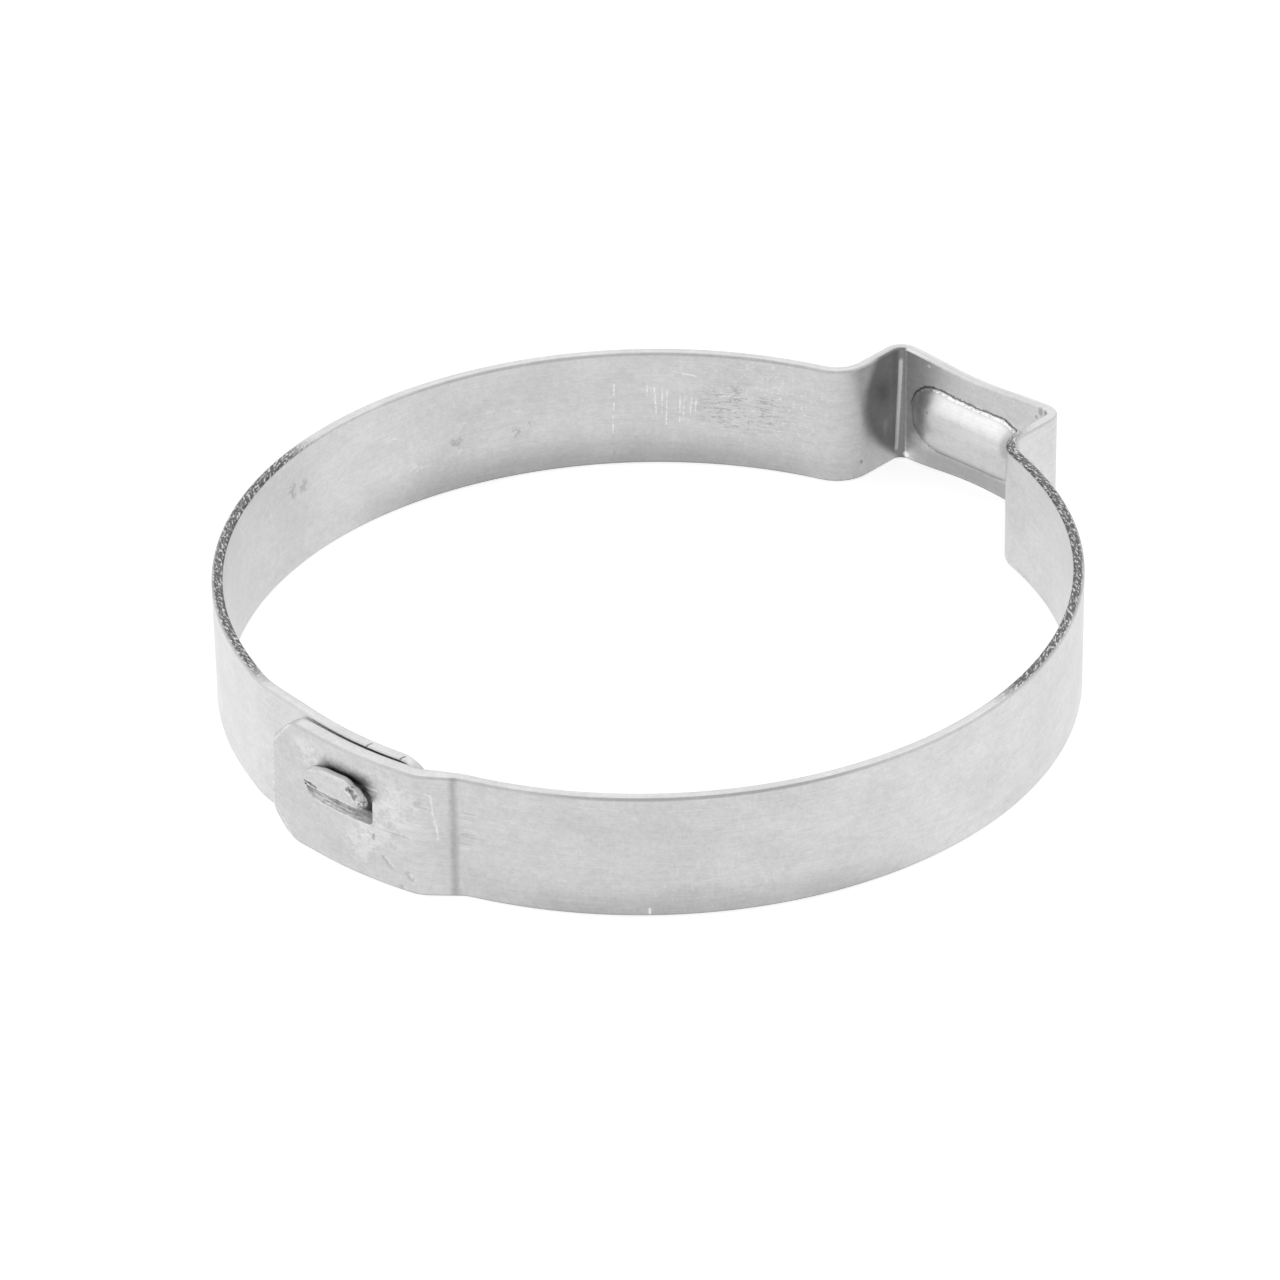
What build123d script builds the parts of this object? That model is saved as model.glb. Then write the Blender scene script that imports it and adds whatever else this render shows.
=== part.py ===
"""Ear hose clamp: one stainless strip, bent round a hose.

The strip runs once round the bore and a little further, so that its two ends
lap. The inner end carries a button that is pressed outwards, reaches through
a window in the outer end and is flattened over the window's upper edge.
Opposite the lap the strip stands up in a box-shaped ear, which pincers pinch
to close the clamp. The crown of the ear is stiffened by a dimple.

Frame: millimetres, +Z along the bore, Z = 0 on the edge that the clamp lies
on, the origin on the bore axis and the ear towards +X.
"""

import os
from math import acos, asin, atan2, cos, degrees, hypot, radians, sin

from build123d import *

# --- the strip ---------------------------------------------------------------
BAND_W = 7.0            # width of the strip
BAND_T = 0.6            # thickness of the strip
EDGE_BREAK = 0.12       # bevel along the strip's slit edges
BORE_R = 22.25          # inner face of the ring

# --- the ear -----------------------------------------------------------------
EAR_GAP = 10.8          # clear width between the two legs
EAR_RISE = 3.8          # inner face of the crown above the bore
EAR_CORNER_R = 0.5      # inner radius of the two upper bends
EAR_FOOT_R = 1.6        # outer radius of the two lower bends
CROWN_WAIST = 0.28      # how far the dimple draws each edge of the crown in
WAIST_MARGIN = 0.3      # full width kept beside each upper bend

# --- the dimple in the crown -------------------------------------------------
DIMPLE_L = 8.3          # length along the crown, on its inner face
DIMPLE_H = 3.8          # height across the strip
DIMPLE_D = 0.9          # depth, pressed towards the bore
DIMPLE_SHIFT = 0.4      # off the crown's middle, towards the leg at +Y

# --- the lap, where the two ends cross ---------------------------------------
LAP_DIP = 0.27          # inner end's inner face, inside the ring's
LAP_GAP = 0.4           # air between the two layers
LOCK_ANGLE = 181.5      # centre of the window, counted from the ear
EASE_BEFORE = 24.2      # from there back to where the inner end leaves the ring's circle
EASE_RUN = 1.3          # straight run before the inner end's soft bend
EASE_R = 7.0            # inner radius of the soft bend
STEP_AFTER = 11.6       # from the window's centre on to the top of the outer end's step
STEP_SLOPE = 15.5       # slope of the step, degrees
STEP_R = 1.2            # radius of the step's two bends, on their inner faces
TIP_UNDER_STEP = 0.65   # length of the inner end beyond the top of the step
TAIL_BEFORE = 2.8       # from the window's centre back to where the outer end turns straight
TAIL_RUN = 3.55         # straight tail of the outer end
CORNER_CUT = 1.4        # cropped corners of both ends
CORNER_R = 0.8          # rounding of the cropped corners

# --- the window in the outer end ---------------------------------------------
WINDOW_L = 4.36         # length along the strip
WINDOW_H = 2.0          # height across the strip
WINDOW_Z = 4.27         # height of its centre above the lower edge
WINDOW_ROUND_R = 0.8    # its upper corners, beside the edge that the head hooks over
WINDOW_CORNER_R = 0.3   # its lower corners

# --- the button on the inner end ---------------------------------------------
BUTTON_SHIFT = 0.27     # button's centre from the window's, towards the step
BUTTON_Z = 4.47         # height of the button's widest line
STEM_L = 3.2            # length of the stem
STEM_H = 0.6            # height of the stem
STEM_HOLLOW = 0.3       # depth of the punch's mark behind the stem
HEAD_L = 4.1            # length of the flattened head
HEAD_RISE = 1.15        # head above its widest line
HEAD_DROP = 0.25        # head below its widest line
HEAD_T = 0.55           # thickness of the flattened head
HEAD_LIFT = 0.12        # air between the head and the outer end
HEAD_EDGE_R = 0.2       # rounding of the head's front edge
HEAD_TIP_R = 0.3        # rounding of the head's two tips

# --- worked out from the sizes above -----------------------------------------
HALF_T = BAND_T / 2
RING_R = BORE_R + HALF_T                        # middle line of the ring
INNER_LAP_R = RING_R - LAP_DIP                  # middle line of the inner end
OUTER_LAP_R = INNER_LAP_R + BAND_T + LAP_GAP    # middle line of the outer end
MID_GAP_R = INNER_LAP_R + (BAND_T + LAP_GAP) / 2
CROWN_X = BORE_R + EAR_RISE + HALF_T            # middle line of the crown
WAIST_HALF_L = EAR_GAP / 2 - EAR_CORNER_R - WAIST_MARGIN
WAIST_R = (WAIST_HALF_L**2 + CROWN_WAIST**2) / (2 * CROWN_WAIST)
DIMPLE_R = ((DIMPLE_H / 2) ** 2 + DIMPLE_D**2) / (2 * DIMPLE_D)
DIMPLE_X = CROWN_X - HALF_T - DIMPLE_D + DIMPLE_R  # axis of the dimple's round


def ease_in(leave_r, reach_r, run, bend_r):
    """Straight run, soft bend and straight run from one circle to a smaller one."""
    centre = hypot(run, leave_r - bend_r)
    lean = acos((reach_r - bend_r) / centre)
    turn = lean + atan2(run, leave_r - bend_r)
    return [(None, run), (bend_r, degrees(turn)), (None, centre * sin(lean))], degrees(turn)


def step_out(leave_r, reach_r, slope, bend_r):
    """Two bends with a straight between them, from one circle to a larger one."""
    reach = ((leave_r + bend_r) * cos(radians(slope)) - 2 * bend_r) / (reach_r - bend_r)
    back = degrees(acos(reach))
    run = (reach_r - bend_r) * sin(radians(back)) - (leave_r + bend_r) * sin(radians(slope))
    return [(bend_r, -slope), (None, run), (bend_r, back)], back - slope


def ear_side():
    """Runs and bends from the middle of the crown down to the ring, and the angle there."""
    corner_r = EAR_CORNER_R + HALF_T
    foot_r = EAR_FOOT_R + HALF_T
    leg_y = EAR_GAP / 2 + HALF_T
    foot_angle = degrees(asin((leg_y + foot_r) / (RING_R + foot_r)))
    foot_x = (RING_R + foot_r) * cos(radians(foot_angle))
    bends = [
        (None, leg_y - corner_r),
        (corner_r, 90),
        (None, CROWN_X - corner_r - foot_x),
        (foot_r, foot_angle - 90),
    ]
    return bends, foot_angle


def trace(bends, hand, face):
    """Draw one face of the strip, bend by bend, from the middle of the crown.

    hand is 1 to go round by +Y and -1 to go by -Y. face is 1 for the face away
    from the hose and -1 for the face towards it. A bend of positive turn goes
    round the hose, and one of negative turn goes the other way.
    """
    spot = Vector(CROWN_X + face * HALF_T, 0)
    heading = Vector(0, hand)
    for bend_r, amount in bends:
        if bend_r is None:
            piece = Line(spot, spot + heading * amount)
        else:
            face_r = bend_r + face * HALF_T if amount > 0 else bend_r - face * HALF_T
            piece = JernArc(spot, heading, face_r, hand * amount)
        spot = piece @ 1
        heading = piece % 1
    return spot, heading


def lap_plane(radius):
    """Plane against the lap at the window: X along the strip, Y up, Z outwards."""
    outwards = Vector(cos(radians(LOCK_ANGLE)), sin(radians(LOCK_ANGLE)))
    along = Vector(-outwards.Y, outwards.X)
    return Plane(origin=outwards * radius, x_dir=along, z_dir=outwards)


def dimple_form(face_r):
    """Round-ended bar along the crown, as fat as one face of the dimple."""
    half_run = (DIMPLE_L - DIMPLE_H) / 2
    with BuildPart() as form:
        with BuildSketch(Plane((0, DIMPLE_SHIFT, BAND_W / 2))):
            with BuildLine():
                CenterArc((DIMPLE_X, half_run), face_r, start_angle=90, arc_size=90)
                Line((DIMPLE_X - face_r, half_run), (DIMPLE_X - face_r, -half_run))
                CenterArc((DIMPLE_X, -half_run), face_r, start_angle=180, arc_size=90)
                Line((DIMPLE_X, -half_run - face_r), (DIMPLE_X, half_run + face_r))
            make_face()
        revolve(axis=Axis((DIMPLE_X, DIMPLE_SHIFT, BAND_W / 2), (0, 1, 0)))
    return form.part


ear_bends, foot_angle = ear_side()

# The inner end, by +Y: off the ring, softly inwards, and on under the step.
ease_bends, ease_angle = ease_in(RING_R, INNER_LAP_R, EASE_RUN, EASE_R + HALF_T)
ease_start = LOCK_ANGLE - EASE_BEFORE
tip_angle = LOCK_ANGLE + STEP_AFTER + degrees(TIP_UNDER_STEP / INNER_LAP_R)
inner_bends = [
    *ear_bends,
    (RING_R, ease_start - foot_angle),
    *ease_bends,
    (INNER_LAP_R, tip_angle - ease_start - ease_angle),
]

# The outer end, by -Y: up the step, over the inner end, and out straight.
step_bends, step_angle = step_out(RING_R, OUTER_LAP_R, STEP_SLOPE, STEP_R + HALF_T)
step_top = 360 - LOCK_ANGLE - STEP_AFTER
outer_bends = [
    *ear_bends,
    (RING_R, step_top - step_angle - foot_angle),
    *step_bends,
    (OUTER_LAP_R, STEP_AFTER + TAIL_BEFORE),
    (None, TAIL_RUN),
]

# Outline of a cropped strip end, pointing along +X with its tip at the origin.
with BuildSketch() as end_outline:
    Rectangle(BAND_W, BAND_W, align=(Align.MAX, Align.CENTER))
    chamfer(end_outline.vertices().group_by(Axis.X)[-1], CORNER_CUT)
    fillet(end_outline.vertices().filter_by(lambda v: v.X > -2 * CORNER_CUT), CORNER_R)

# Cutter for the window. It stops in the gap between the two layers.
with BuildPart() as window_cutter:
    with BuildSketch(lap_plane(BORE_R - BAND_T)) as window:
        with Locations((0, WINDOW_Z)):
            Rectangle(WINDOW_L, WINDOW_H)
        fillet(window.vertices().group_by(Axis.Y)[-1], WINDOW_ROUND_R)
        fillet(window.vertices().group_by(Axis.Y)[0], WINDOW_CORNER_R)
    extrude(amount=OUTER_LAP_R - BORE_R + 3 * BAND_T)
    Cylinder(MID_GAP_R, BAND_W, align=(Align.CENTER, Align.CENTER, Align.MIN), mode=Mode.SUBTRACT)

with BuildPart() as clamp_band:
    # The strip, drawn on edge and raised by its width.
    with BuildSketch() as plan:
        with BuildLine():
            ends = []
            for hand, bends in ((1, inner_bends), (-1, outer_bends)):
                (away, heading), (towards, _) = [trace(bends, hand, face) for face in (1, -1)]
                Line(away, towards)
                ends.append(((away + towards) / 2, heading))
        make_face()
    extrude(amount=BAND_W)
    cut_faces = clamp_band.faces().filter_by(lambda f: abs(f.area - BAND_T * BAND_W) < 1e-6)

    # The crown is narrowed, as the dimple draws its edges in.
    with BuildSketch(Plane.YZ.offset(CROWN_X)):
        with Locations((0, BAND_W - CROWN_WAIST + WAIST_R), (0, CROWN_WAIST - WAIST_R)):
            Circle(WAIST_R)
    extrude(amount=BAND_T, both=True, mode=Mode.SUBTRACT)

    # The strip's long edges were dressed before it was cut to length.
    uprights = clamp_band.edges().filter_by(Axis.Z)
    chamfer(clamp_band.edges() - uprights - cut_faces.edges(), EDGE_BREAK)

    # Both ends are cropped, so their corners are cut away and their edges crisp.
    for middle, heading in ends:
        side_view = Plane(
            origin=middle + Vector(0, 0, BAND_W / 2),
            x_dir=heading,
            z_dir=heading.cross(Vector(0, 0, 1)),
        )
        with BuildSketch(side_view) as waste:
            Rectangle(2 * CORNER_CUT, BAND_W + 1, align=(Align.MAX, Align.CENTER))
            add(end_outline.sketch, mode=Mode.SUBTRACT)
        extrude(amount=HALF_T + LAP_GAP / 2, both=True, mode=Mode.SUBTRACT)

    # The dimple: a boss towards the bore, and a hollow of one thickness less behind it.
    with BuildPart(mode=Mode.PRIVATE) as boss:
        add(dimple_form(DIMPLE_R))
        split(bisect_by=Plane.YZ.offset(CROWN_X), keep=Keep.BOTTOM)
    add(boss.part)
    add(dimple_form(DIMPLE_R - BAND_T), mode=Mode.SUBTRACT)

    # The window.
    add(window_cutter.part, mode=Mode.SUBTRACT)

    # The button: a stem out of the inner end, and a head flattened over the window's edge.
    stem_foot_r = INNER_LAP_R - HALF_T + STEM_HOLLOW
    head_back_r = OUTER_LAP_R + HALF_T + HEAD_LIFT
    with BuildSketch(lap_plane(stem_foot_r)) as stem:
        with Locations((BUTTON_SHIFT, BUTTON_Z)):
            SlotOverall(STEM_L, STEM_H)
    extrude(amount=head_back_r - stem_foot_r + HEAD_T / 2)
    with BuildSketch(lap_plane(stem_foot_r)) as hollow:
        with Locations((BUTTON_SHIFT, BUTTON_Z)):
            SlotOverall(STEM_L, STEM_H)
    extrude(amount=-BAND_T, mode=Mode.SUBTRACT)
    with BuildPart(mode=Mode.PRIVATE) as head:
        with BuildSketch(lap_plane(head_back_r)) as head_outline:
            with BuildLine():
                EllipticalCenterArc(
                    (BUTTON_SHIFT, BUTTON_Z), HEAD_L / 2, HEAD_RISE, start_angle=0, arc_size=180
                )
                ThreePointArc(
                    (BUTTON_SHIFT - HEAD_L / 2, BUTTON_Z),
                    (BUTTON_SHIFT, BUTTON_Z - HEAD_DROP),
                    (BUTTON_SHIFT + HEAD_L / 2, BUTTON_Z),
                )
            make_face()
            fillet(head_outline.vertices(), HEAD_TIP_R)
        extrude(amount=HEAD_T)
        fillet(head.faces().sort_by(Axis((0, 0, 0), lap_plane(0).z_dir))[-1].edges(), HEAD_EDGE_R)
    add(head.part)

clamp_band.part.label = "clamp_band"

os.makedirs("parts", exist_ok=True)
export_step(clamp_band.part, "parts/clamp_band.step")
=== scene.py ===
from math import acos, asin, atan2, cos, hypot, pi, radians, sin

import bmesh
import bpy
import numpy as np
from mathutils import Matrix, Vector


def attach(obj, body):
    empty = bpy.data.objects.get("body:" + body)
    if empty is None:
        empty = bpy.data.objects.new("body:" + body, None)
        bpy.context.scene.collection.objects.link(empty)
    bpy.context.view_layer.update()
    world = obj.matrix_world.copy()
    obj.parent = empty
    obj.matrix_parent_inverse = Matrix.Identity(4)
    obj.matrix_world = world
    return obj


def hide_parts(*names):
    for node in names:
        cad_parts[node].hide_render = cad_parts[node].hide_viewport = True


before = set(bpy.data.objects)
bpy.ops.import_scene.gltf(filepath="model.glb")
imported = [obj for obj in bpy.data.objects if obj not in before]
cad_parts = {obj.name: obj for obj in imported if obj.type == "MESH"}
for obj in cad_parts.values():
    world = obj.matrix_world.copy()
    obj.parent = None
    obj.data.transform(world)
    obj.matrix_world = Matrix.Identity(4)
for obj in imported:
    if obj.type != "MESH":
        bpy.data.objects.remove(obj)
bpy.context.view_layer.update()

# ----------------------------------------------------------------------------
# The band. One stainless strip, slit from a coil and dressed along its edges,
# cropped at both ends, pierced with a window, then bent round the bore with an
# ear opposite the lap. It is drawn flat as a blank and then bent, in mm.
# ----------------------------------------------------------------------------
millimetre = 0.001
band_width = 7.0
band_thick = 0.6
half_width = band_width / 2
half_thick = band_thick / 2
bore_radius = 22.25
ring_radius = bore_radius + half_thick

# Bends of the ear, from the middle of the crown down to the ring.
ear_gap, ear_rise, ear_corner, ear_foot = 10.8, 3.8, 0.5, 1.6
crown_x = bore_radius + ear_rise + half_thick
corner_radius = ear_corner + half_thick
foot_radius = ear_foot + half_thick
leg_y = ear_gap / 2 + half_thick
foot_angle = asin((leg_y + foot_radius) / (ring_radius + foot_radius))
leg_run = crown_x - corner_radius - (ring_radius + foot_radius) * cos(foot_angle)
ear_bends = [
    (0.0, leg_y - corner_radius),
    (1 / corner_radius, corner_radius * pi / 2),
    (0.0, leg_run),
    (-1 / foot_radius, foot_radius * (pi / 2 - foot_angle)),
]

# The lap: the inner end eases inwards, and the outer end steps over it.
lap_dip, lap_gap = 0.27, 0.4
lock_angle, ease_ahead = 181.5, 24.2
inner_lap = ring_radius - lap_dip
outer_lap = inner_lap + band_thick + lap_gap
ease_run, ease_radius = 1.3, 7.0 + half_thick
ease_reach = hypot(ease_run, ring_radius - ease_radius)
ease_lean = acos((inner_lap - ease_radius) / ease_reach)
ease_turn = ease_lean + atan2(ease_run, ring_radius - ease_radius)
ease_start = radians(lock_angle - ease_ahead)
step_after, step_slope, step_bend = 11.6, radians(15.5), 1.2 + half_thick
tip_past_step = 0.65
tip_angle = radians(lock_angle + step_after) + tip_past_step / inner_lap
inner_bends = ear_bends + [
    (1 / ring_radius, ring_radius * (ease_start - foot_angle)),
    (0.0, ease_run),
    (1 / ease_radius, ease_radius * ease_turn),
    (0.0, ease_reach * sin(ease_lean)),
    (1 / inner_lap, inner_lap * (tip_angle - ease_start - ease_turn)),
]
step_lean = acos(((ring_radius + step_bend) * cos(step_slope) - 2 * step_bend) / (outer_lap - step_bend))
step_run = (outer_lap - step_bend) * sin(step_lean) - (ring_radius + step_bend) * sin(step_slope)
step_top = radians(360 - lock_angle - step_after)
curved_past_lock, straight_tip = 2.8, 3.55
outer_bends = ear_bends + [
    (1 / ring_radius, ring_radius * (step_top - (step_lean - step_slope) - foot_angle)),
    (-1 / step_bend, step_bend * step_slope),
    (0.0, step_run),
    (1 / step_bend, step_bend * step_lean),
    (1 / outer_lap, outer_lap * radians(step_after + curved_past_lock)),
    (0.0, straight_tip),
]


class BentSide:
    """Middle line of one half of the strip, from the crown's middle to its end."""

    def __init__(self, bends):
        self.starts, self.points, self.turns, self.curls = [0.0], [(crown_x, 0.0)], [pi / 2], []
        for curl, run in bends:
            x, y = self.points[-1]
            turn = self.turns[-1]
            if curl:
                x += (sin(turn + curl * run) - sin(turn)) / curl
                y -= (cos(turn + curl * run) - cos(turn)) / curl
            else:
                x += run * cos(turn)
                y += run * sin(turn)
            self.starts.append(self.starts[-1] + run)
            self.points.append((x, y))
            self.turns.append(turn + curl * run)
            self.curls.append(curl)
        self.length = self.starts[-1]

    def at(self, run):
        leg = np.clip(np.searchsorted(self.starts, run, side="right") - 1, 0, len(self.curls) - 1)
        curl = np.array(self.curls)[leg]
        turn = np.array(self.turns)[leg]
        start = np.array(self.points)[leg]
        along = run - np.array(self.starts)[leg]
        bent = np.where(np.abs(curl) > 1e-9, curl, 1.0)
        end = turn + curl * along
        x = np.where(curl == 0, along * np.cos(turn), (np.sin(end) - np.sin(turn)) / bent)
        y = np.where(curl == 0, along * np.sin(turn), -(np.cos(end) - np.cos(turn)) / bent)
        return start[:, 0] + x, start[:, 1] + y, end


# Places along the strip, from the crown's middle: the inner half counts up, the outer half down.
inner_side, outer_side = BentSide(inner_bends), BentSide(outer_bends)
button_shift, button_height = 0.27, 4.47
window_run = -(outer_side.starts[-3] + outer_lap * radians(step_after))
window_low, window_high = 3.12, 5.27
step_run_at = -outer_side.starts[5]
lock_past_ease = radians(lock_angle) - ease_start - ease_turn
stem_run = inner_side.starts[-2] + inner_lap * lock_past_ease + button_shift

# The long dimple that stiffens the crown.
dimple_run, dimple_height = 0.4, 3.36
dimple_straight, dimple_ease, dimple_reach = 2.15, 0.6, 2.04
dimple_sink, dimple_foot = 0.9, 0.03

# What the tools leave: the crown's waist, the window's raked lower wall, the
# punch's mark behind the stem, and the outer layer's lean and upper burr.
waist_depth, waist_reach = 0.28, 5.2
rake_lift = 0.45
punch_half, punch_depth = 1.2, 0.3
layer_lean, layer_burr = 0.22, 0.85


def smooth(low, high, value):
    """Rise from 0 to 1 as value goes from low to high."""
    share = np.clip((value - low) / (high - low), 0, 1)
    return share * share * (3 - 2 * share)


def dimple_depth(run, height):
    """Depth of the dimple, whose border blends softly into the crown."""
    beyond = np.abs(run - dimple_run) - dimple_straight
    beyond = 0.5 * (beyond + np.sqrt(beyond**2 + dimple_ease**2))
    reach = np.hypot(beyond, height - dimple_height) / dimple_reach
    dome = dimple_sink * (1 - reach**2)
    return 0.5 * (dome + np.sqrt(dome**2 + dimple_foot**2))


def bend(flat):
    """Bend points of the blank, given as run, height and offset from the middle line."""
    run, height, offset = flat[:, 0], flat[:, 1], flat[:, 2]
    by_inner = inner_side.at(np.maximum(run, 0))
    by_outer = outer_side.at(np.maximum(-run, 0))
    x = np.where(run >= 0, by_inner[0], by_outer[0])
    y = np.where(run >= 0, by_inner[1], -by_outer[1])
    turn = np.where(run >= 0, by_inner[2], pi - by_outer[2])
    inwards = np.clip((half_thick - offset) / band_thick, 0, 1)

    waist = waist_depth * np.cos(np.clip(run / waist_reach, -1, 1) * pi / 2) ** 2
    height = half_width + (height - half_width) * (1 - waist / half_width)
    beside = smooth(2.9, 2.3, np.abs(run - window_run))
    rake = smooth(window_low - 0.47, window_low, height) * smooth(4.3, window_low + 0.03, height) * beside
    height = height + rake_lift * rake * inwards

    offset = offset - dimple_depth(run, height) * smooth(6.0, 5.0, np.abs(run))
    slot = np.hypot(np.maximum(np.abs(run - stem_run) - punch_half, 0), (height - button_height) * 1.2)
    offset = offset + punch_depth * smooth(0.42, 0.24, slot) * inwards
    leans = smooth(step_run_at + 0.5, step_run_at - 2.5, run)
    offset = offset + leans * layer_lean * (1 - height / band_width)
    offset = offset * (1 + layer_burr * leans * smooth(5.6, 6.8, height) * (offset < 0))
    return np.stack([x + offset * np.sin(turn), y - offset * np.cos(turn), height], 1)


def round_corners(corners, radii, steps=8, hole=False):
    """Points of a polygon with rounded corners, and the metal's outward normal at each."""
    hand = -1 if hole else 1
    points, normals = [], []
    count = len(corners)
    for i, (corner, radius) in enumerate(zip(corners, radii)):
        here = Vector(corner)
        back = (Vector(corners[i - 1]) - here).normalized()
        on = (Vector(corners[(i + 1) % count]) - here).normalized()
        half = back.angle(on) / 2
        centre = here + (back + on).normalized() * radius / sin(half)
        start = here + back * radius / np.tan(half) - centre
        first = atan2(start.y, start.x)
        sweep = hand * (pi - 2 * half)
        for k in range(steps + 1):
            angle = first + sweep * k / steps
            normals.append((hand * cos(angle), hand * sin(angle)))
            points.append((centre.x + radius * cos(angle), centre.y + radius * sin(angle)))
    return points, normals


def cuts(start, end, step):
    """Evenly spaced places where a flat plate is cut, so that it can bend there."""
    return {float(place) for place in np.arange(start, end, step).round(3)}


def plate(outlines, half, stations, levels):
    """Flat plate with rounded edges, cut into a grid. Outlines: points, normals, edge radii."""
    mesh = bmesh.new()
    layer = mesh.verts.layers.float_vector.new("facing")
    rounds = 5
    fronts, backs = [], []
    for points, normals, edge_radii in outlines:
        rings = []
        for k in range(2 * rounds + 2):
            upper = k <= rounds
            tilt = (k if upper else 2 * rounds + 1 - k) / rounds * pi / 2
            side = 1 if upper else -1
            ring = []
            for (x, y), (nx, ny), edge in zip(points, normals, edge_radii):
                inward = edge * (1 - sin(tilt))
                depth = side * (half - edge * (1 - cos(tilt)))
                vert = mesh.verts.new((x - nx * inward, y - ny * inward, depth))
                vert[layer] = (nx * sin(tilt), ny * sin(tilt), side * cos(tilt))
                ring.append(vert)
            rings.append(ring)
        for upper, lower in zip(rings, rings[1:]):
            for i in range(len(upper)):
                j = (i + 1) % len(upper)
                mesh.faces.new((upper[i], lower[i], lower[j], upper[j]))
        fronts.append(rings[0])
        backs.append(rings[-1])
    for loops in (fronts, backs):
        pairs = [pair for loop in loops for pair in zip(loop, loop[1:] + loop[:1])]
        bmesh.ops.triangle_fill(mesh, use_beauty=True, edges=[mesh.edges.get(pair) for pair in pairs])
    snap = 1e-5
    ahead = mesh.faces[:]
    for station in sorted(stations):
        geom = list({v for f in ahead for v in f.verts}) + list({e for f in ahead for e in f.edges}) + ahead
        cut = bmesh.ops.bisect_plane(
            mesh, geom=geom, plane_co=(station, 0, 0), plane_no=(1, 0, 0), dist=snap,
        )
        faces = [f for f in cut["geom"] if isinstance(f, bmesh.types.BMFace)]
        ahead = [f for f in faces if f.calc_center_median().x > station]
    for level in sorted(levels):
        geom = mesh.verts[:] + mesh.edges[:] + mesh.faces[:]
        bmesh.ops.bisect_plane(mesh, geom=geom, plane_co=(0, level, 0), plane_no=(0, 1, 0), dist=snap)
    bmesh.ops.recalc_face_normals(mesh, faces=mesh.faces)
    return mesh


def to_object(name, mesh, place):
    """Move every point of a flat plate to its place and shade it by the moved normals."""
    layer = mesh.verts.layers.float_vector["facing"]
    flat = np.array([v.co for v in mesh.verts])
    facing = np.array([v[layer] for v in mesh.verts])
    facing /= np.linalg.norm(facing, axis=1)[:, None]
    spot = place(flat)
    step = 2e-4
    nudges = step * np.eye(3)
    slopes = [(place(flat + nudge) - place(flat - nudge)) / (2 * step) for nudge in nudges]
    jacobian = np.stack(slopes, 1)
    normals = np.linalg.solve(jacobian, facing[:, :, None])[:, :, 0]
    normals /= np.linalg.norm(normals, axis=1)[:, None]
    for vert, point in zip(mesh.verts, spot):
        vert.co = point * millimetre
    data = bpy.data.meshes.new(name)
    mesh.to_mesh(data)
    data.shade_smooth()
    blank = data.attributes.new("blank", "FLOAT_VECTOR", "POINT")
    blank.data.foreach_set("vector", flat.astype(np.float32).ravel())
    data.normals_split_custom_set_from_vertices(normals.tolist())
    thing = bpy.data.objects.new(name, data)
    bpy.context.scene.collection.objects.link(thing)
    return thing


# Outline of the blank, with its cropped corners, and the window in it.
low, high = -outer_side.length, inner_side.length
crop, crop_round = 1.4, 1.5
slit_edge, cut_edge = 0.14, 0.05
blank_corners = [
    (low + crop, 0), (high - crop, 0), (high, crop), (high, band_width - crop),
    (high - crop, band_width), (low + crop, band_width), (low, band_width - crop), (low, crop),
]
blank_points, blank_normals = round_corners(blank_corners, [crop_round] * len(blank_corners))
blank_edges = [
    slit_edge + (cut_edge - slit_edge) * float(smooth(0.02, 0.35, 1 - abs(ny))) for nx, ny in blank_normals
]
window_start, window_end = window_run - 2.18, window_run + 2.38
window_corners = [
    (window_start, window_low), (window_start, window_high),
    (window_end, window_high), (window_end, window_low),
]
window_radii, window_steps = [0.8, 1.2, 0.8, 0.3], 10
window_points, window_normals = round_corners(window_corners, window_radii, window_steps, hole=True)
window_edges = [cut_edge] * len(window_points)

# Cut widely along the ring, and closely at the ear, the window and the button.
stations = cuts(low + 0.3, high, 0.37) | cuts(-6.6, 6.61, 0.11)
stations |= cuts(window_run - 3.2, window_run + 3.2, 0.15) | cuts(stem_run - 2.0, stem_run + 2.0, 0.1)
levels = cuts(0.35, 4.0, 0.19) | cuts(4.0, 5.0, 0.1) | cuts(5.0, 6.7, 0.19)
blank = plate(
    [(blank_points, blank_normals, blank_edges), (window_points, window_normals, window_edges)],
    half_thick, stations, levels,
)
band = to_object("band", blank, bend)
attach(band, "root")
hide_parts("clamp_band")


class Wire:
    """A shader socket that can be used in ordinary sums."""

    def __init__(self, tree, socket):
        self.tree, self.socket = tree, socket

    def maths(self, operation, *values):
        node = self.tree.nodes.new("ShaderNodeMath")
        node.operation = operation
        for slot, value in zip(node.inputs, values):
            plug(self.tree, slot, value)
        return Wire(self.tree, node.outputs[0])

    def __add__(self, other):
        return self.maths("ADD", self, other)

    def __sub__(self, other):
        return self.maths("SUBTRACT", self, other)

    def __rsub__(self, other):
        return self.maths("SUBTRACT", other, self)

    def __mul__(self, other):
        return self.maths("MULTIPLY", self, other)

    def __truediv__(self, other):
        return self.maths("DIVIDE", self, other)

    def __pow__(self, other):
        return self.maths("POWER", self, other)

    def __abs__(self):
        return self.maths("ABSOLUTE", self)

    __radd__, __rmul__ = __add__, __mul__

    def least(self, other):
        return self.maths("MINIMUM", self, other)

    def most(self, other):
        return self.maths("MAXIMUM", self, other)

    def dulled(self, mask, share):
        """Less by a share of itself where the mask is 1."""
        return self * (1.0 - mask * share)


def plug(tree, slot, value):
    """Link a wire to a socket, or set the socket to a plain value."""
    if isinstance(value, Wire):
        tree.links.new(value.socket, slot)
    else:
        slot.default_value = value


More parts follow.
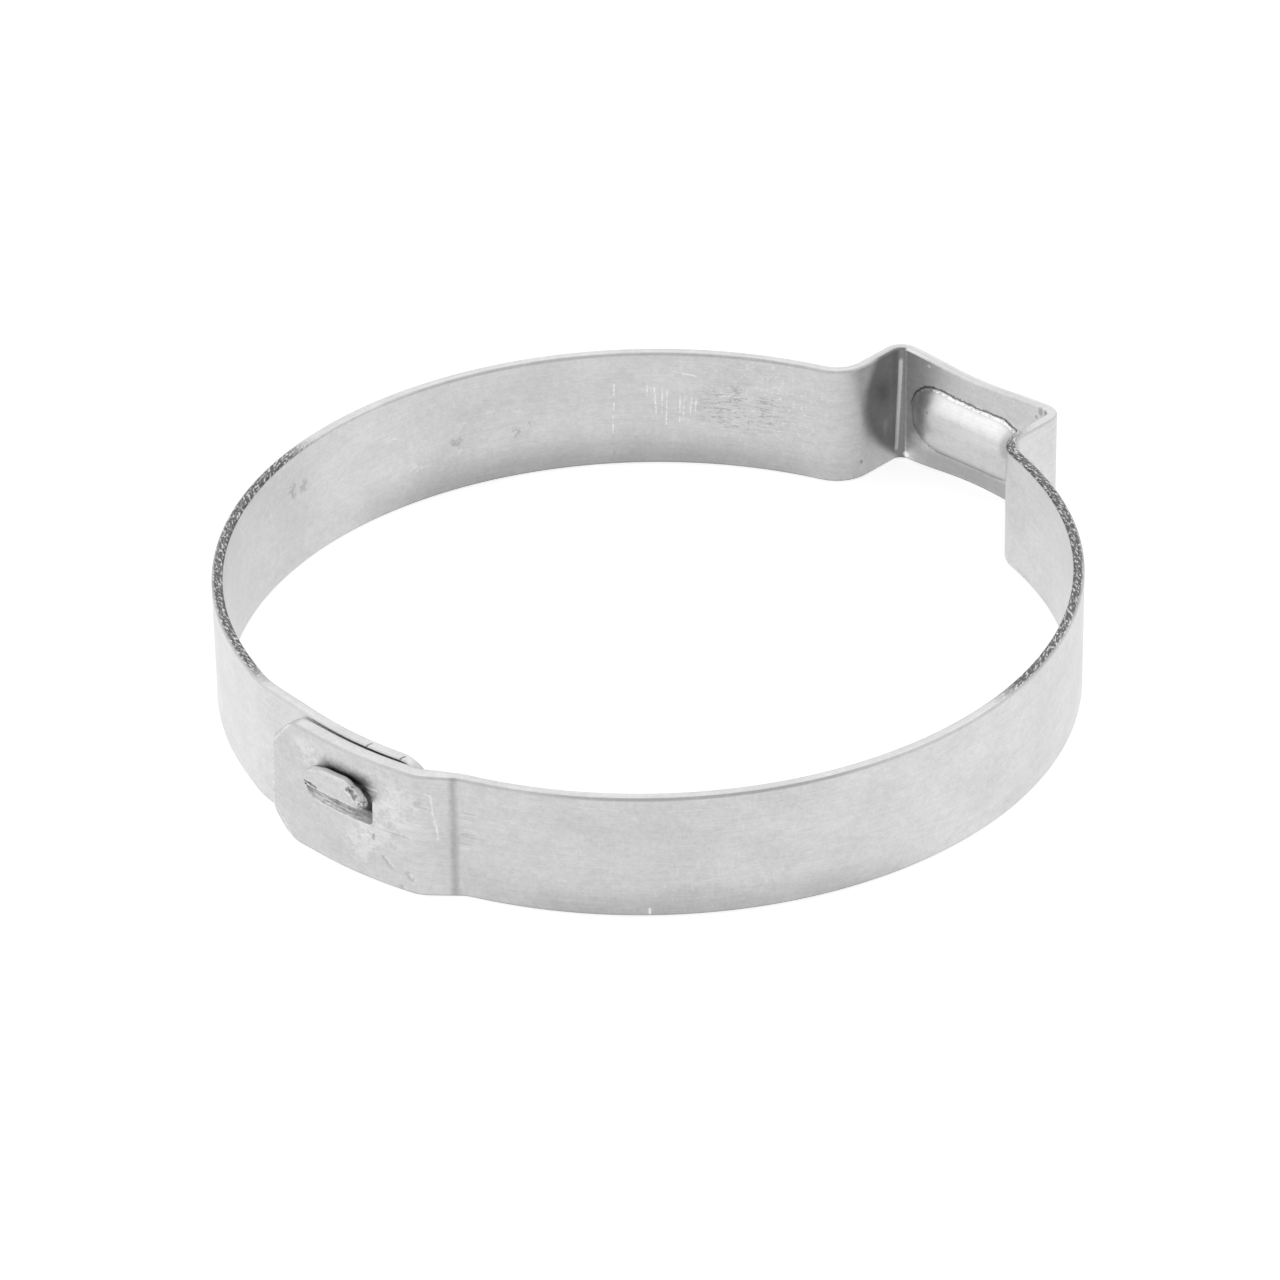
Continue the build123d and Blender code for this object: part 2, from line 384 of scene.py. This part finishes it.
class Shader:
    """The nodes of a material, or of the world."""

    def __init__(self, owner):
        owner.use_nodes = True
        self.owner, self.tree = owner, owner.node_tree

    def node(self, kind, settings, sockets, output=0):
        node = self.tree.nodes.new(kind)
        for key, value in settings.items():
            setattr(node, key, value)
        for key, value in sockets.items():
            plug(self.tree, node.inputs[key], value)
        return Wire(self.tree, node.outputs[output])

    def blank(self):
        """Run, height and offset of a point on the flat blank."""
        spot = self.node("ShaderNodeAttribute", {"attribute_name": "blank"}, {}, "Vector")
        return [self.node("ShaderNodeSeparateXYZ", {}, {"Vector": spot}, axis) for axis in "XYZ"]

    def noise(self, x, y, z, detail=3.0, roughness=0.55):
        place = self.node("ShaderNodeCombineXYZ", {}, {"X": x, "Y": y, "Z": z})
        sockets = {"Vector": place, "Scale": 1.0, "Detail": detail, "Roughness": roughness}
        return self.node("ShaderNodeTexNoise", {}, sockets)

    def ramp(self, value, low, high):
        return self.node("ShaderNodeMapRange", {"interpolation_type": "SMOOTHSTEP"},
                         {"Value": value, "From Min": low, "From Max": high})

    def band(self, value, start, end, soft):
        """1 between start and end, fading to 0 over a soft border."""
        return self.ramp(value, start - soft, start + soft) * self.ramp(value, end + soft, end - soft)

    def oval(self, along, across, centre, reach):
        """1 at the middle of an oval, 0 from its edge."""
        u, v = (along - centre[0]) / reach[0], (across - centre[1]) / reach[1]
        return self.ramp(u * u + v * v, 1.0, 0.1)

    def streak(self, along, across, start, end, width):
        """1 on the line from start to end, 0 at the given half width."""
        dx, dy = end[0] - start[0], end[1] - start[1]
        u, v = along - start[0], across - start[1]
        share = ((u * dx + v * dy) / (dx * dx + dy * dy)).most(0.0).least(1.0)
        u, v = u - share * dx, v - share * dy
        return self.ramp(u * u + v * v, width * width, width * width * 0.1)

    def metal(self, tone, rough, relief, strength, depth):
        """Plug the tone, roughness and relief of a bare metal."""
        metal = self.tree.nodes["Principled BSDF"]
        shade = self.node("ShaderNodeCombineXYZ", {}, {"X": tone, "Y": tone * 0.995, "Z": tone})
        bump = self.node("ShaderNodeBump", {}, {"Height": relief, "Strength": strength, "Distance": depth})
        sockets = {"Base Color": shade, "Roughness": rough, "Metallic": 1.0, "Normal": bump}
        for socket, value in sockets.items():
            plug(self.tree, metal.inputs[socket], value)


# The steel as rolled: fine lines along the strip, cloudy and gritty tones. Its
# marks are placed by run and height on the blank, on the inner or outer face.
steel = Shader(bpy.data.materials.new("rolled_stainless"))
run, height, offset = steel.blank()
lines = steel.noise(run * 0.12, height * 14.0, offset * 3.0, 4.0, 0.6)
fine = steel.noise(run * 0.8, height * 40.0, offset * 3.0, 2.0, 0.5)
cloud = steel.noise(run * 0.35, height * 0.5, offset * 0.8, 3.0, 0.5)
mottle = steel.noise(run * 2.2, height * 3.0, offset * 2.0, 4.0, 0.6)
grit = steel.noise(run * 6.0, height * 7.0, offset * 8.0, 4.0, 0.65)
inner = steel.ramp(offset, -0.10, -0.24)
outer = steel.ramp(offset, 0.10, 0.24)
along, across = run + (grit - 0.5) * 0.16, height + (mottle - 0.5) * 0.30
frayed = run + (grit - 0.5) * 0.7 + (mottle - 0.5) * 0.4
torn, ragged = run + (mottle - 0.5) * 1.6 + (grit - 0.5) * 0.8, height + (grit - 0.5) * 1.6
tone = 0.605 + (cloud - 0.5) * 0.14 + (lines - 0.5) * 0.15 + (fine - 0.5) * 0.12
tone = tone + (mottle - 0.5) * 0.18 + (grit - 0.5) * 0.20
rough = 0.34 + (lines - 0.5) * 0.16 + (mottle - 0.5) * 0.12

# Slit edges: dressed smooth along the front and back, rough and pitted where
# the strip was filed on both sides, with a thin line of painted shade along
# their borders.
rim = steel.ramp(height, 6.84, 6.95)
filed = steel.band(run, -36.5, -8.6, 1.6) + steel.band(run, 43.0, 67.5, 1.8)
pits = steel.noise(run * 3.4 + offset * 5.0, height * 3.0, offset * 7.0, 4.0, 0.72)
pitted = rim * filed * steel.ramp(pits, 0.60, 0.50) * steel.ramp(offset, 0.30, 0.14)
tone = tone.dulled(pitted, 0.84).dulled(rim, 0.06)
seam = steel.band(offset, -0.10, -0.04, 0.03) * steel.band(run, -4.5, 8.5, 0.6) * rim
tone = tone.dulled(seam, 0.16)
outer_bevel_shade = steel.ramp(height, 6.82, 6.88) * steel.ramp(offset, 0.17, 0.24)
outer_bevel_shade = outer_bevel_shade * (0.35 + steel.band(run, -61.5, -46.0, 2.5) * 0.65)
tone = tone.dulled(outer_bevel_shade, 0.14 + mottle * 0.30)
inner_bevel_shade = steel.ramp(height, 6.80, 6.88) * steel.ramp(offset, -0.14, -0.24)
inner_bevel_shade = inner_bevel_shade * steel.band(run, 11.0, 36.0, 3.0)
tone = tone.dulled(inner_bevel_shade, 0.16)
# Painted shade along the lower edge, where the strip stands on the table.
lower_edge_shade = steel.ramp(height, 0.16, 0.05)
tone = tone.dulled(lower_edge_shade, 0.35)

# Inside of the ear: painted shade on its far leg and down to its foot, a little
# lighter low in the leg's middle, and on the crown's foot below the dimple, with
# a painted highlight down the sharp corner between them. The crown is lighter
# towards the corner.
leg_start = steel.ramp(run, 5.0, 5.2)
leg_end = 8.55 - (height - 4.4) * (height - 4.4) * 0.15
leg = steel.ramp(run, leg_end + 0.45, leg_end - 0.35) * leg_start * inner
leg_foot_shade = steel.ramp(run, 11.5, 8.3) * leg_start * inner
tone = tone.dulled(leg, 0.55).dulled(leg_foot_shade, 0.20)
corner = steel.ramp(run, 2.6, 4.5) * steel.ramp(run, 5.2, 5.0) * inner
tone = tone * (1.0 + corner * 0.13)
crown_foot_shade = steel.ramp(height, 1.5, 0.9) * steel.ramp(run, 5.0, 4.0) * steel.ramp(run, -6.0, -5.0) * inner
tone = tone.dulled(crown_foot_shade, 0.33)
crease = run - 5.97 + height * 0.073 + (mottle - 0.5) * 0.08
crease_highlight = steel.ramp(crease * crease, 0.045, 0.02) * steel.band(height, 0.6, 6.3, 0.15) * inner
tone = tone * (1.0 - crease_highlight) + crease_highlight * (0.46 + (lines - 0.5) * 0.1 + (grit - 0.5) * 0.2)
tone = tone + steel.oval(along, across, (6.9, 2.4), (0.25, 0.7)) * inner * 0.06

# The pressed dimple: painted light on its upper half, a ragged painted glint
# and a line of painted shade beyond it along its upper border, and a line of
# painted shade along its lower border.
reach = abs(run - dimple_run) - dimple_straight
beyond = (reach + (reach * reach + dimple_ease**2) ** 0.5) * 0.5
climb = height - dimple_height
rise = (beyond * beyond + climb * climb) ** 0.5 + (grit - 0.5) * 0.20 + (mottle - 0.5) * 0.16
crown = inner * steel.band(run, -5.0, 5.0, 0.1)
upper = steel.ramp(climb, 0.0, 0.8) * crown
glint = steel.band(rise, 1.93, 2.04, 0.03) * upper * steel.ramp(grit, 0.44, 0.52)
lit = steel.ramp(climb, 0.0, 0.9) * steel.ramp(rise, 2.0, 1.7) * inner * steel.band(run, -5.0, 3.6, 0.5)
tone = tone + lit * 0.20 + glint * 0.34
upper_border_shade = steel.band(rise, 2.05, 2.15, 0.04) * upper
lower = steel.band(rise, 2.02, 2.14, 0.05) * steel.ramp(climb, -0.2, -1.0) * crown
tone = tone.dulled(upper_border_shade, 0.75).dulled(lower, 0.30)
# Painted shade at the dimple's two ends.
for centre, size, share in (((4.05, 4.15), (0.42, 0.95), 0.15), ((-2.9, 4.1), (0.6, 1.1), 0.30)):
    tone = tone.dulled(steel.oval(run, height, centre, size) * inner, share)

# Scuffs, scratches and dents inside the back of the ring.
scuff = steel.noise(run * 1.1, height * 7.0, 3.0, 3.0, 0.6)
worn = steel.oval(run, height, (15.5, 3.7), (3.6, 2.0)) * inner
tone = tone.dulled(worn * steel.ramp(scuff, 0.48, 0.60) * steel.ramp(grit, 0.44, 0.54), 0.40)
flecks = steel.oval(run, height, (14.2, 4.2), (4.5, 3.6)) * inner
tone = tone + flecks * steel.ramp(grit, 0.58, 0.68) * 0.16
scratches = (
    ((18.35, 4.2), (18.45, 3.1)), ((18.75, 4.1), (18.85, 2.9)), ((19.0, 4.3), (19.05, 2.6)),
    ((19.72, 4.6), (19.8, 2.5)), ((20.45, 4.8), (20.35, 3.2)), ((20.85, 4.95), (20.85, 4.3)),
    ((20.0, 4.6), (20.05, 3.0)), ((18.1, 4.1), (18.15, 3.4)), ((19.4, 5.85), (18.7, 5.7)),
    ((18.6, 5.7), (18.1, 5.6)), ((17.0, 4.3), (16.4, 4.45)), ((16.3, 4.4), (15.9, 4.7)),
    ((22.7, 5.1), (22.72, 4.4)), ((22.72, 4.0), (22.74, 3.5)), ((22.78, 3.1), (22.8, 2.0)),
)
broken = inner * steel.ramp(grit + (mottle - 0.5) * 0.8, 0.34, 0.56)
for start, end in scratches:
    tone = tone + steel.streak(run, height, start, end, 0.05) * broken * 0.18
dents = (
    ((27.6, 3.2), (0.16, 0.28)), ((31.95, 3.0), (0.3, 0.42)), ((43.1, 4.7), (0.35, 0.5)),
    ((44.2, 4.8), (0.3, 0.6)), ((22.95, 0.8), (0.16, 0.2)), ((28.3, 2.8), (0.2, 0.35)),
)
for centre, size in dents:
    tone = tone.dulled(steel.oval(torn, ragged, centre, size) * inner, 0.26)
pale_patches = (
    ((31.6, 4.0), (0.4, 0.3)), ((31.8, 2.45), (0.4, 0.15)), ((28.3, 4.1), (0.2, 0.4)),
    ((30.0, 4.5), (0.3, 0.15)), ((34.7, 2.3), (0.5, 0.3)), ((36.3, 4.6), (0.5, 0.3)),
)
for centre, size in pale_patches:
    tone = tone + steel.oval(torn, ragged, centre, size) * inner * 0.07

# Broad shades of the faces: painted shade low down at the back and front,
# paler towards the ear and on the left, with short hair lines up the front.
tone = tone.dulled(steel.ramp(height, 2.6, 0.0) * steel.band(run, 11.0, 38.0, 5.0) * inner, 0.36)
tone = tone + steel.ramp(run, -56.0, -38.0) * outer * 0.07
tone = tone + steel.band(run, 34.5, 42.5, 3.0) * inner * 0.06
tone = tone.dulled(steel.ramp(height, 2.2, 0.0) * steel.band(run, -65.5, -44.0, 4.0) * outer, 0.24)
hairs = steel.noise(run * 7.0, height * 0.9, 11.0, 2.0, 0.6)
tone = tone + steel.ramp(hairs, 0.60, 0.72) * steel.band(run, -62.0, -49.0, 2.0) * outer * 0.05

# The lap: pale worn film round the button, a line of painted shade where the
# strip steps down, and the tool's short marks beside it.
flaked = steel.oval(run, height, (-71.2, 4.4), (2.6, 3.0))
for centre, size in (((-72.6, 1.9), (1.6, 1.4)), ((-76.3, 5.7), (1.6, 1.0))):
    flaked = flaked + steel.oval(run, height, centre, size)
film = steel.noise(run * 1.0, height * 1.2, 7.0, 5.0, 0.65)
tone = tone + flaked * steel.ramp(film + (grit - 0.5) * 0.22, 0.45, 0.53) * outer * 0.085
step_shade = steel.ramp(abs(run + 67.5 + (mottle - 0.5) * 0.25), 0.36, 0.0) * outer
tone = tone.dulled(step_shade, 0.06 + mottle * 0.42)
comb = steel.noise(run * 0.5, height * 9.0, 5.0, 1.0, 0.5)
combed = steel.band(run, -67.2, -66.2, 0.15) * steel.band(height, 2.8, 5.2, 0.3) * outer
tone = tone + (comb - 0.5) * combed * 0.45
# A bright curved line on the lap, and painted highlights along the outer end's cut edge and its cropped
# corners.
bright_lines = (
    ((-69.0, 6.05), (-68.65, 5.9)), ((-68.62, 5.85), (-68.55, 4.9)), ((-68.52, 4.8), (-68.35, 4.0)),
    ((-68.35, 4.0), (-68.3, 3.4)), ((-78.86, 5.3), (-78.86, 1.6)), ((-78.8, 5.4), (-77.6, 6.8)),
    ((-78.8, 1.6), (-77.6, 0.3)),
)
for start, end in bright_lines:
    tone = tone + steel.streak(along, height, start, end, 0.07) * outer * steel.ramp(grit, 0.36, 0.5) * 0.12
# Nicks, each drawn as painted shade with a painted highlight beside it.
nicks = (
    ((-71.25, 1.6), (-70.8, 1.2)), ((-69.8, 1.1), (-69.6, 0.85)), ((-70.2, 0.2), (-70.1, 0.22)),
    ((-69.3, 5.35), (-68.9, 5.25)),
)
for start, end in nicks:
    lit_side = (start[0] + 0.2, start[1]), (end[0] + 0.2, end[1])
    tone = tone.dulled(steel.streak(frayed, across, start, end, 0.17) * outer, 0.20)
    tone = tone + steel.streak(frayed, across, *lit_side, 0.12) * outer * 0.07
tone = tone.dulled(steel.streak(run, height, (-71.9, 3.2), (-69.9, 3.22), 0.05) * outer, 0.15)
tone = tone.dulled(steel.oval(along, across, (-71.83, 2.6), (0.14, 0.24)) * outer, 0.38)

# Painted shadow on the lap just above the button's head, a painted highlight
# along the window's upper edge beside it, and painted light on its walls, which
# are drawn into lines by the punch.
# Painted shadow of the head on the lap.
under = steel.ramp(height + (grit - 0.5) * 0.5, 6.30, 5.55) * steel.ramp(height, 5.1, 5.2)
tone = tone.dulled(under * steel.band(run, -75.2, -71.95, 0.45) * outer, 0.74)
tone = tone + steel.streak(run, height, (-73.0, 5.33), (-71.6, 5.36), 0.05) * outer * 0.22
wall = steel.ramp(abs(offset), 0.29, 0.22) * steel.oval(run, height, (-74.28, 4.2), (3.4, 2.2))
drawn = steel.noise(run * 1.4, offset * 13.0, height * 2.0, 4.0, 0.6)
tone = tone + wall * ((drawn - 0.5) * 2.0 + (grit - 0.5) * 0.6 + 0.17)
rough = rough + wall * 0.30

# A painted glint low on the front, single bright spots, dark spots on the ear,
# and nicks in the rim of the inner end.
tone = tone + steel.streak(run, height, (-57.5, 0.2), (-57.5, 0.45), 0.09) * outer * 0.3
for centre, size in (((3.3, 6.6), (0.14, 0.14)), ((5.0, 0.32), (0.35, 0.22))):
    tone = tone + steel.oval(run, height, centre, size) * inner * 0.4
dark_spots = (
    ((-4.75, 6.75), (0.22, 0.35)), ((-4.45, 6.35), (0.12, 0.18)), ((8.8, 1.0), (0.1, 0.16)),
    ((2.8, 4.15), (0.12, 0.1)),
)
for centre, size in dark_spots:
    tone = tone.dulled(steel.oval(along, across, centre, size) * steel.ramp(offset, 0.2, 0.0), 0.40)
for tick in (76.3, 78.4, 79.7):
    tone = tone.dulled(steel.streak(run, offset, (tick, 0.3), (tick + 0.1, 0.0), 0.07) * rim, 0.6)

steel.metal(tone, rough, lines * 0.6 + fine * 0.3 + mottle * 0.4, 0.16, 0.00005)
band.data.materials.append(steel.owner)

# ----------------------------------------------------------------------------
# The button's head, flattened over the window's upper edge, and the stem that
# carries it. Both are part of the strip: pressed out of the inner end, put
# through the window and upset until the head spreads.
# ----------------------------------------------------------------------------
head_length, head_rise, head_drop, head_thick = 4.1, 1.15, 0.25, 0.55
head_gap, head_edge, head_points, head_square = 0.12, 0.16, 48, 0.8
head_back = outer_lap + half_thick + head_gap
head_outline, head_normals = [], []
for k in range(head_points):
    angle = 2 * pi * k / head_points
    lift = head_rise if sin(angle) > 0 else head_drop
    jag = 1 + 0.025 * sin(5 * angle + 1) + 0.02 * sin(11 * angle)
    along = head_length / 2 * np.sign(cos(angle)) * abs(cos(angle)) ** head_square
    up = lift * np.sign(sin(angle)) * abs(sin(angle)) ** head_square
    head_outline.append((along * jag, up * jag))
for k in range(head_points):
    (ax, ay), (bx, by) = head_outline[k - 1], head_outline[(k + 1) % head_points]
    size = hypot(by - ay, ax - bx)
    head_normals.append(((by - ay) / size, (ax - bx) / size))


def seat_head(flat):
    """Stand the flat head against the lap."""
    facing = radians(lock_angle)
    along, up = flat[:, 0] + button_shift, flat[:, 1] + button_height
    out = flat[:, 2] + head_back + head_thick / 2
    x = out * cos(facing) - along * sin(facing)
    y = out * sin(facing) + along * cos(facing)
    return np.stack([x, y, up], 1)


head_edges = [head_edge] * head_points
head_flat = plate(
    [(head_outline, head_normals, head_edges)], head_thick / 2,
    cuts(-2.0, 2.01, 0.08), cuts(-0.2, 1.15, 0.08),
)
head = to_object("button_head", head_flat, seat_head)
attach(head, "root")

stem_half_length, stem_half_height, stem_half_thick, stem_round = 1.6, 0.3, 0.62, 0.28
stem_behind_head = 0.75
stem_corners = [
    (-stem_half_length, -stem_half_height), (stem_half_length, -stem_half_height),
    (stem_half_length, stem_half_height), (-stem_half_length, stem_half_height),
]
stem_outline, stem_normals = round_corners(stem_corners, [stem_round] * len(stem_corners))
stem_edges = [cut_edge] * len(stem_outline)


def seat_stem(flat):
    """Stand the stem on the inner end, under the head."""
    return seat_head(flat - np.array([0, 0, stem_behind_head]))


stem_flat = plate([(stem_outline, stem_normals, stem_edges)], stem_half_thick, [-1.0, 0.0, 1.0], [])
stem = to_object("button_stem", stem_flat, seat_stem)
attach(stem, "root")

# The upset steel is coarser than the strip, dented at its right shoulder, with
# painted shade in the dents and a painted highlight beside them, and dented at
# its tip. It has painted light along its upper edge, a painted shadow along its
# lower left edge, and painted shade under a painted highlight at its lower edge.
upset = Shader(bpy.data.materials.new("upset_stainless"))
along, up, deep = upset.blank()
grit = upset.noise(along * 6.0, up * 7.0, deep * 8.0, 4.0, 0.65)
mottle = upset.noise(along * 2.2, up * 3.0, deep * 2.0 + 4.0, 4.0, 0.6)
torn, ragged = along + (mottle - 0.5) * 0.3, up + (grit - 0.5) * 0.25
frayed, shaken = torn + (grit - 0.5) * 0.35, ragged + (mottle - 0.5) * 0.3
tone = 0.63 + (mottle - 0.5) * 0.22 + (grit - 0.5) * 0.28
for start, end, half in (((1.16, 0.84), (1.24, 0.80), 0.15), ((1.36, 0.74), (1.62, 0.52), 0.20)):
    tone = tone.dulled(upset.streak(frayed, shaken, start, end, half), 0.60)
tone = tone + upset.streak(frayed, shaken, (1.02, 0.66), (1.36, 0.40), 0.10) * 0.10
tone = tone + upset.band(deep, -0.25, 0.17, 0.05) * upset.ramp(up, 0.2, 0.5) * 0.17
tip = upset.oval(torn, ragged, (1.95, 0.14), (0.36, 0.42))
tone = tone.dulled(tip * upset.ramp(grit, 0.58, 0.42), 0.6)
for start, end, half in (((-2.05, 0.10), (-1.5, 0.10), 0.07), ((-1.6, 0.10), (-1.1, 0.0), 0.12)):
    tone = tone.dulled(upset.streak(torn, ragged, start, end, half), 0.60)
tone = tone.dulled(upset.ramp(ragged, -0.09, -0.17), 0.70)
tone = tone + upset.band(ragged, -0.10, -0.04, 0.03) * 0.10
upset.metal(tone, 0.42 + (mottle - 0.5) * 0.2, mottle * 0.7 + grit * 0.3, 0.5, 0.00006)
for piece in (head, stem):
    piece.data.materials.append(upset.owner)

# ----------------------------------------------------------------------------
# The pale matt table that the clamp lies on. Its glow is seen only by the
# camera and in reflections, so that it looks white but casts no light.
# ----------------------------------------------------------------------------
table_half, table_drop, table_glow = 2, 0.00002, 0.72
floor_mesh = bpy.data.meshes.new("table")
floor_corners = [(x * table_half, y * table_half, 0) for x, y in ((-1, -1), (1, -1), (1, 1), (-1, 1))]
floor_mesh.from_pydata(floor_corners, [], [(0, 1, 2, 3)])
table = bpy.data.objects.new("table", floor_mesh)
table.location.z = -table_drop
bpy.context.scene.collection.objects.link(table)


def ray(shader, kind):
    """1 for rays of one kind, such as those straight from the camera."""
    return shader.node("ShaderNodeLightPath", {}, {}, kind)


paper = Shader(bpy.data.materials.new("pale_table"))
card = paper.tree.nodes["Principled BSDF"]
for socket, value in (("Base Color", (0.8, 0.8, 0.8, 1)), ("Roughness", 1.0), ("Specular IOR Level", 0.0)):
    card.inputs[socket].default_value = value
seen = ray(paper, "Is Camera Ray").most(ray(paper, "Is Glossy Ray"))
glow = paper.node("ShaderNodeEmission", {}, {"Color": (1, 1, 1, 1), "Strength": seen * table_glow})
both = paper.node("ShaderNodeAddShader", {}, {0: Wire(paper.tree, card.outputs[0]), 1: glow})
plug(paper.tree, paper.tree.nodes["Material Output"].inputs["Surface"], both)
floor_mesh.materials.append(paper.owner)

# ----------------------------------------------------------------------------
# The white room that the clamp is seen in: even light from all round, a large
# soft box behind it and a weaker one at its left, and the camera.
# ----------------------------------------------------------------------------
room_light, room_white = 0.35, 1.0
room = Shader(bpy.data.worlds.new("white_room"))
bpy.context.scene.world = room.owner
direct = ray(room, "Is Camera Ray") + ray(room, "Is Glossy Ray") + ray(room, "Is Transmission Ray")
air = room.tree.nodes["Background"]
air.inputs["Color"].default_value = (1, 1, 1, 1)
plug(room.tree, air.inputs["Strength"], direct.least(1.0) * (room_white - room_light) + room_light)


def soft_lamp(name, azimuth, elevation, distance, size, power):
    """Square soft box aimed at the clamp."""
    lamp = bpy.data.lights.new(name, "AREA")
    lamp.shape, lamp.size, lamp.energy = "SQUARE", size, power
    holder = bpy.data.objects.new(name, lamp)
    spot = Vector((cos(elevation) * cos(azimuth), cos(elevation) * sin(azimuth), sin(elevation))) * distance
    holder.location = spot
    holder.rotation_euler = spot.to_track_quat("Z", "Y").to_euler()
    bpy.context.scene.collection.objects.link(holder)


soft_lamp("back_box", azimuth=radians(44), elevation=radians(48), distance=0.8, size=1.0, power=1.1)
soft_lamp("left_box", azimuth=radians(140), elevation=radians(24), distance=0.8, size=0.8, power=0.55)

camera_data = bpy.data.cameras.new("camera")
camera = bpy.data.objects.new("camera", camera_data)
view_from, view_down, view_roll, view_far = radians(223.8), radians(31.981), radians(-0.915), 0.36627
picture_width, focal_length, sensor_width = 1280, 6922.7, 36.0
shift_right, shift_up = -9.61, 34.77
camera_data.sensor_width, camera_data.lens = sensor_width, focal_length / picture_width * sensor_width
camera_data.shift_x, camera_data.shift_y = shift_right / picture_width, shift_up / picture_width
camera_data.clip_start, camera_data.clip_end = 0.01, 10.0
back = Vector((cos(view_down) * cos(view_from), cos(view_down) * sin(view_from), sin(view_down)))
aim = back.to_track_quat("Z", "Y").to_matrix() @ Matrix.Rotation(view_roll, 3, "Z")
camera.matrix_world = Matrix.Translation(back * view_far) @ aim.to_4x4()
bpy.context.scene.collection.objects.link(camera)
bpy.context.scene.camera = camera
bpy.context.scene.view_settings.view_transform = "Standard"
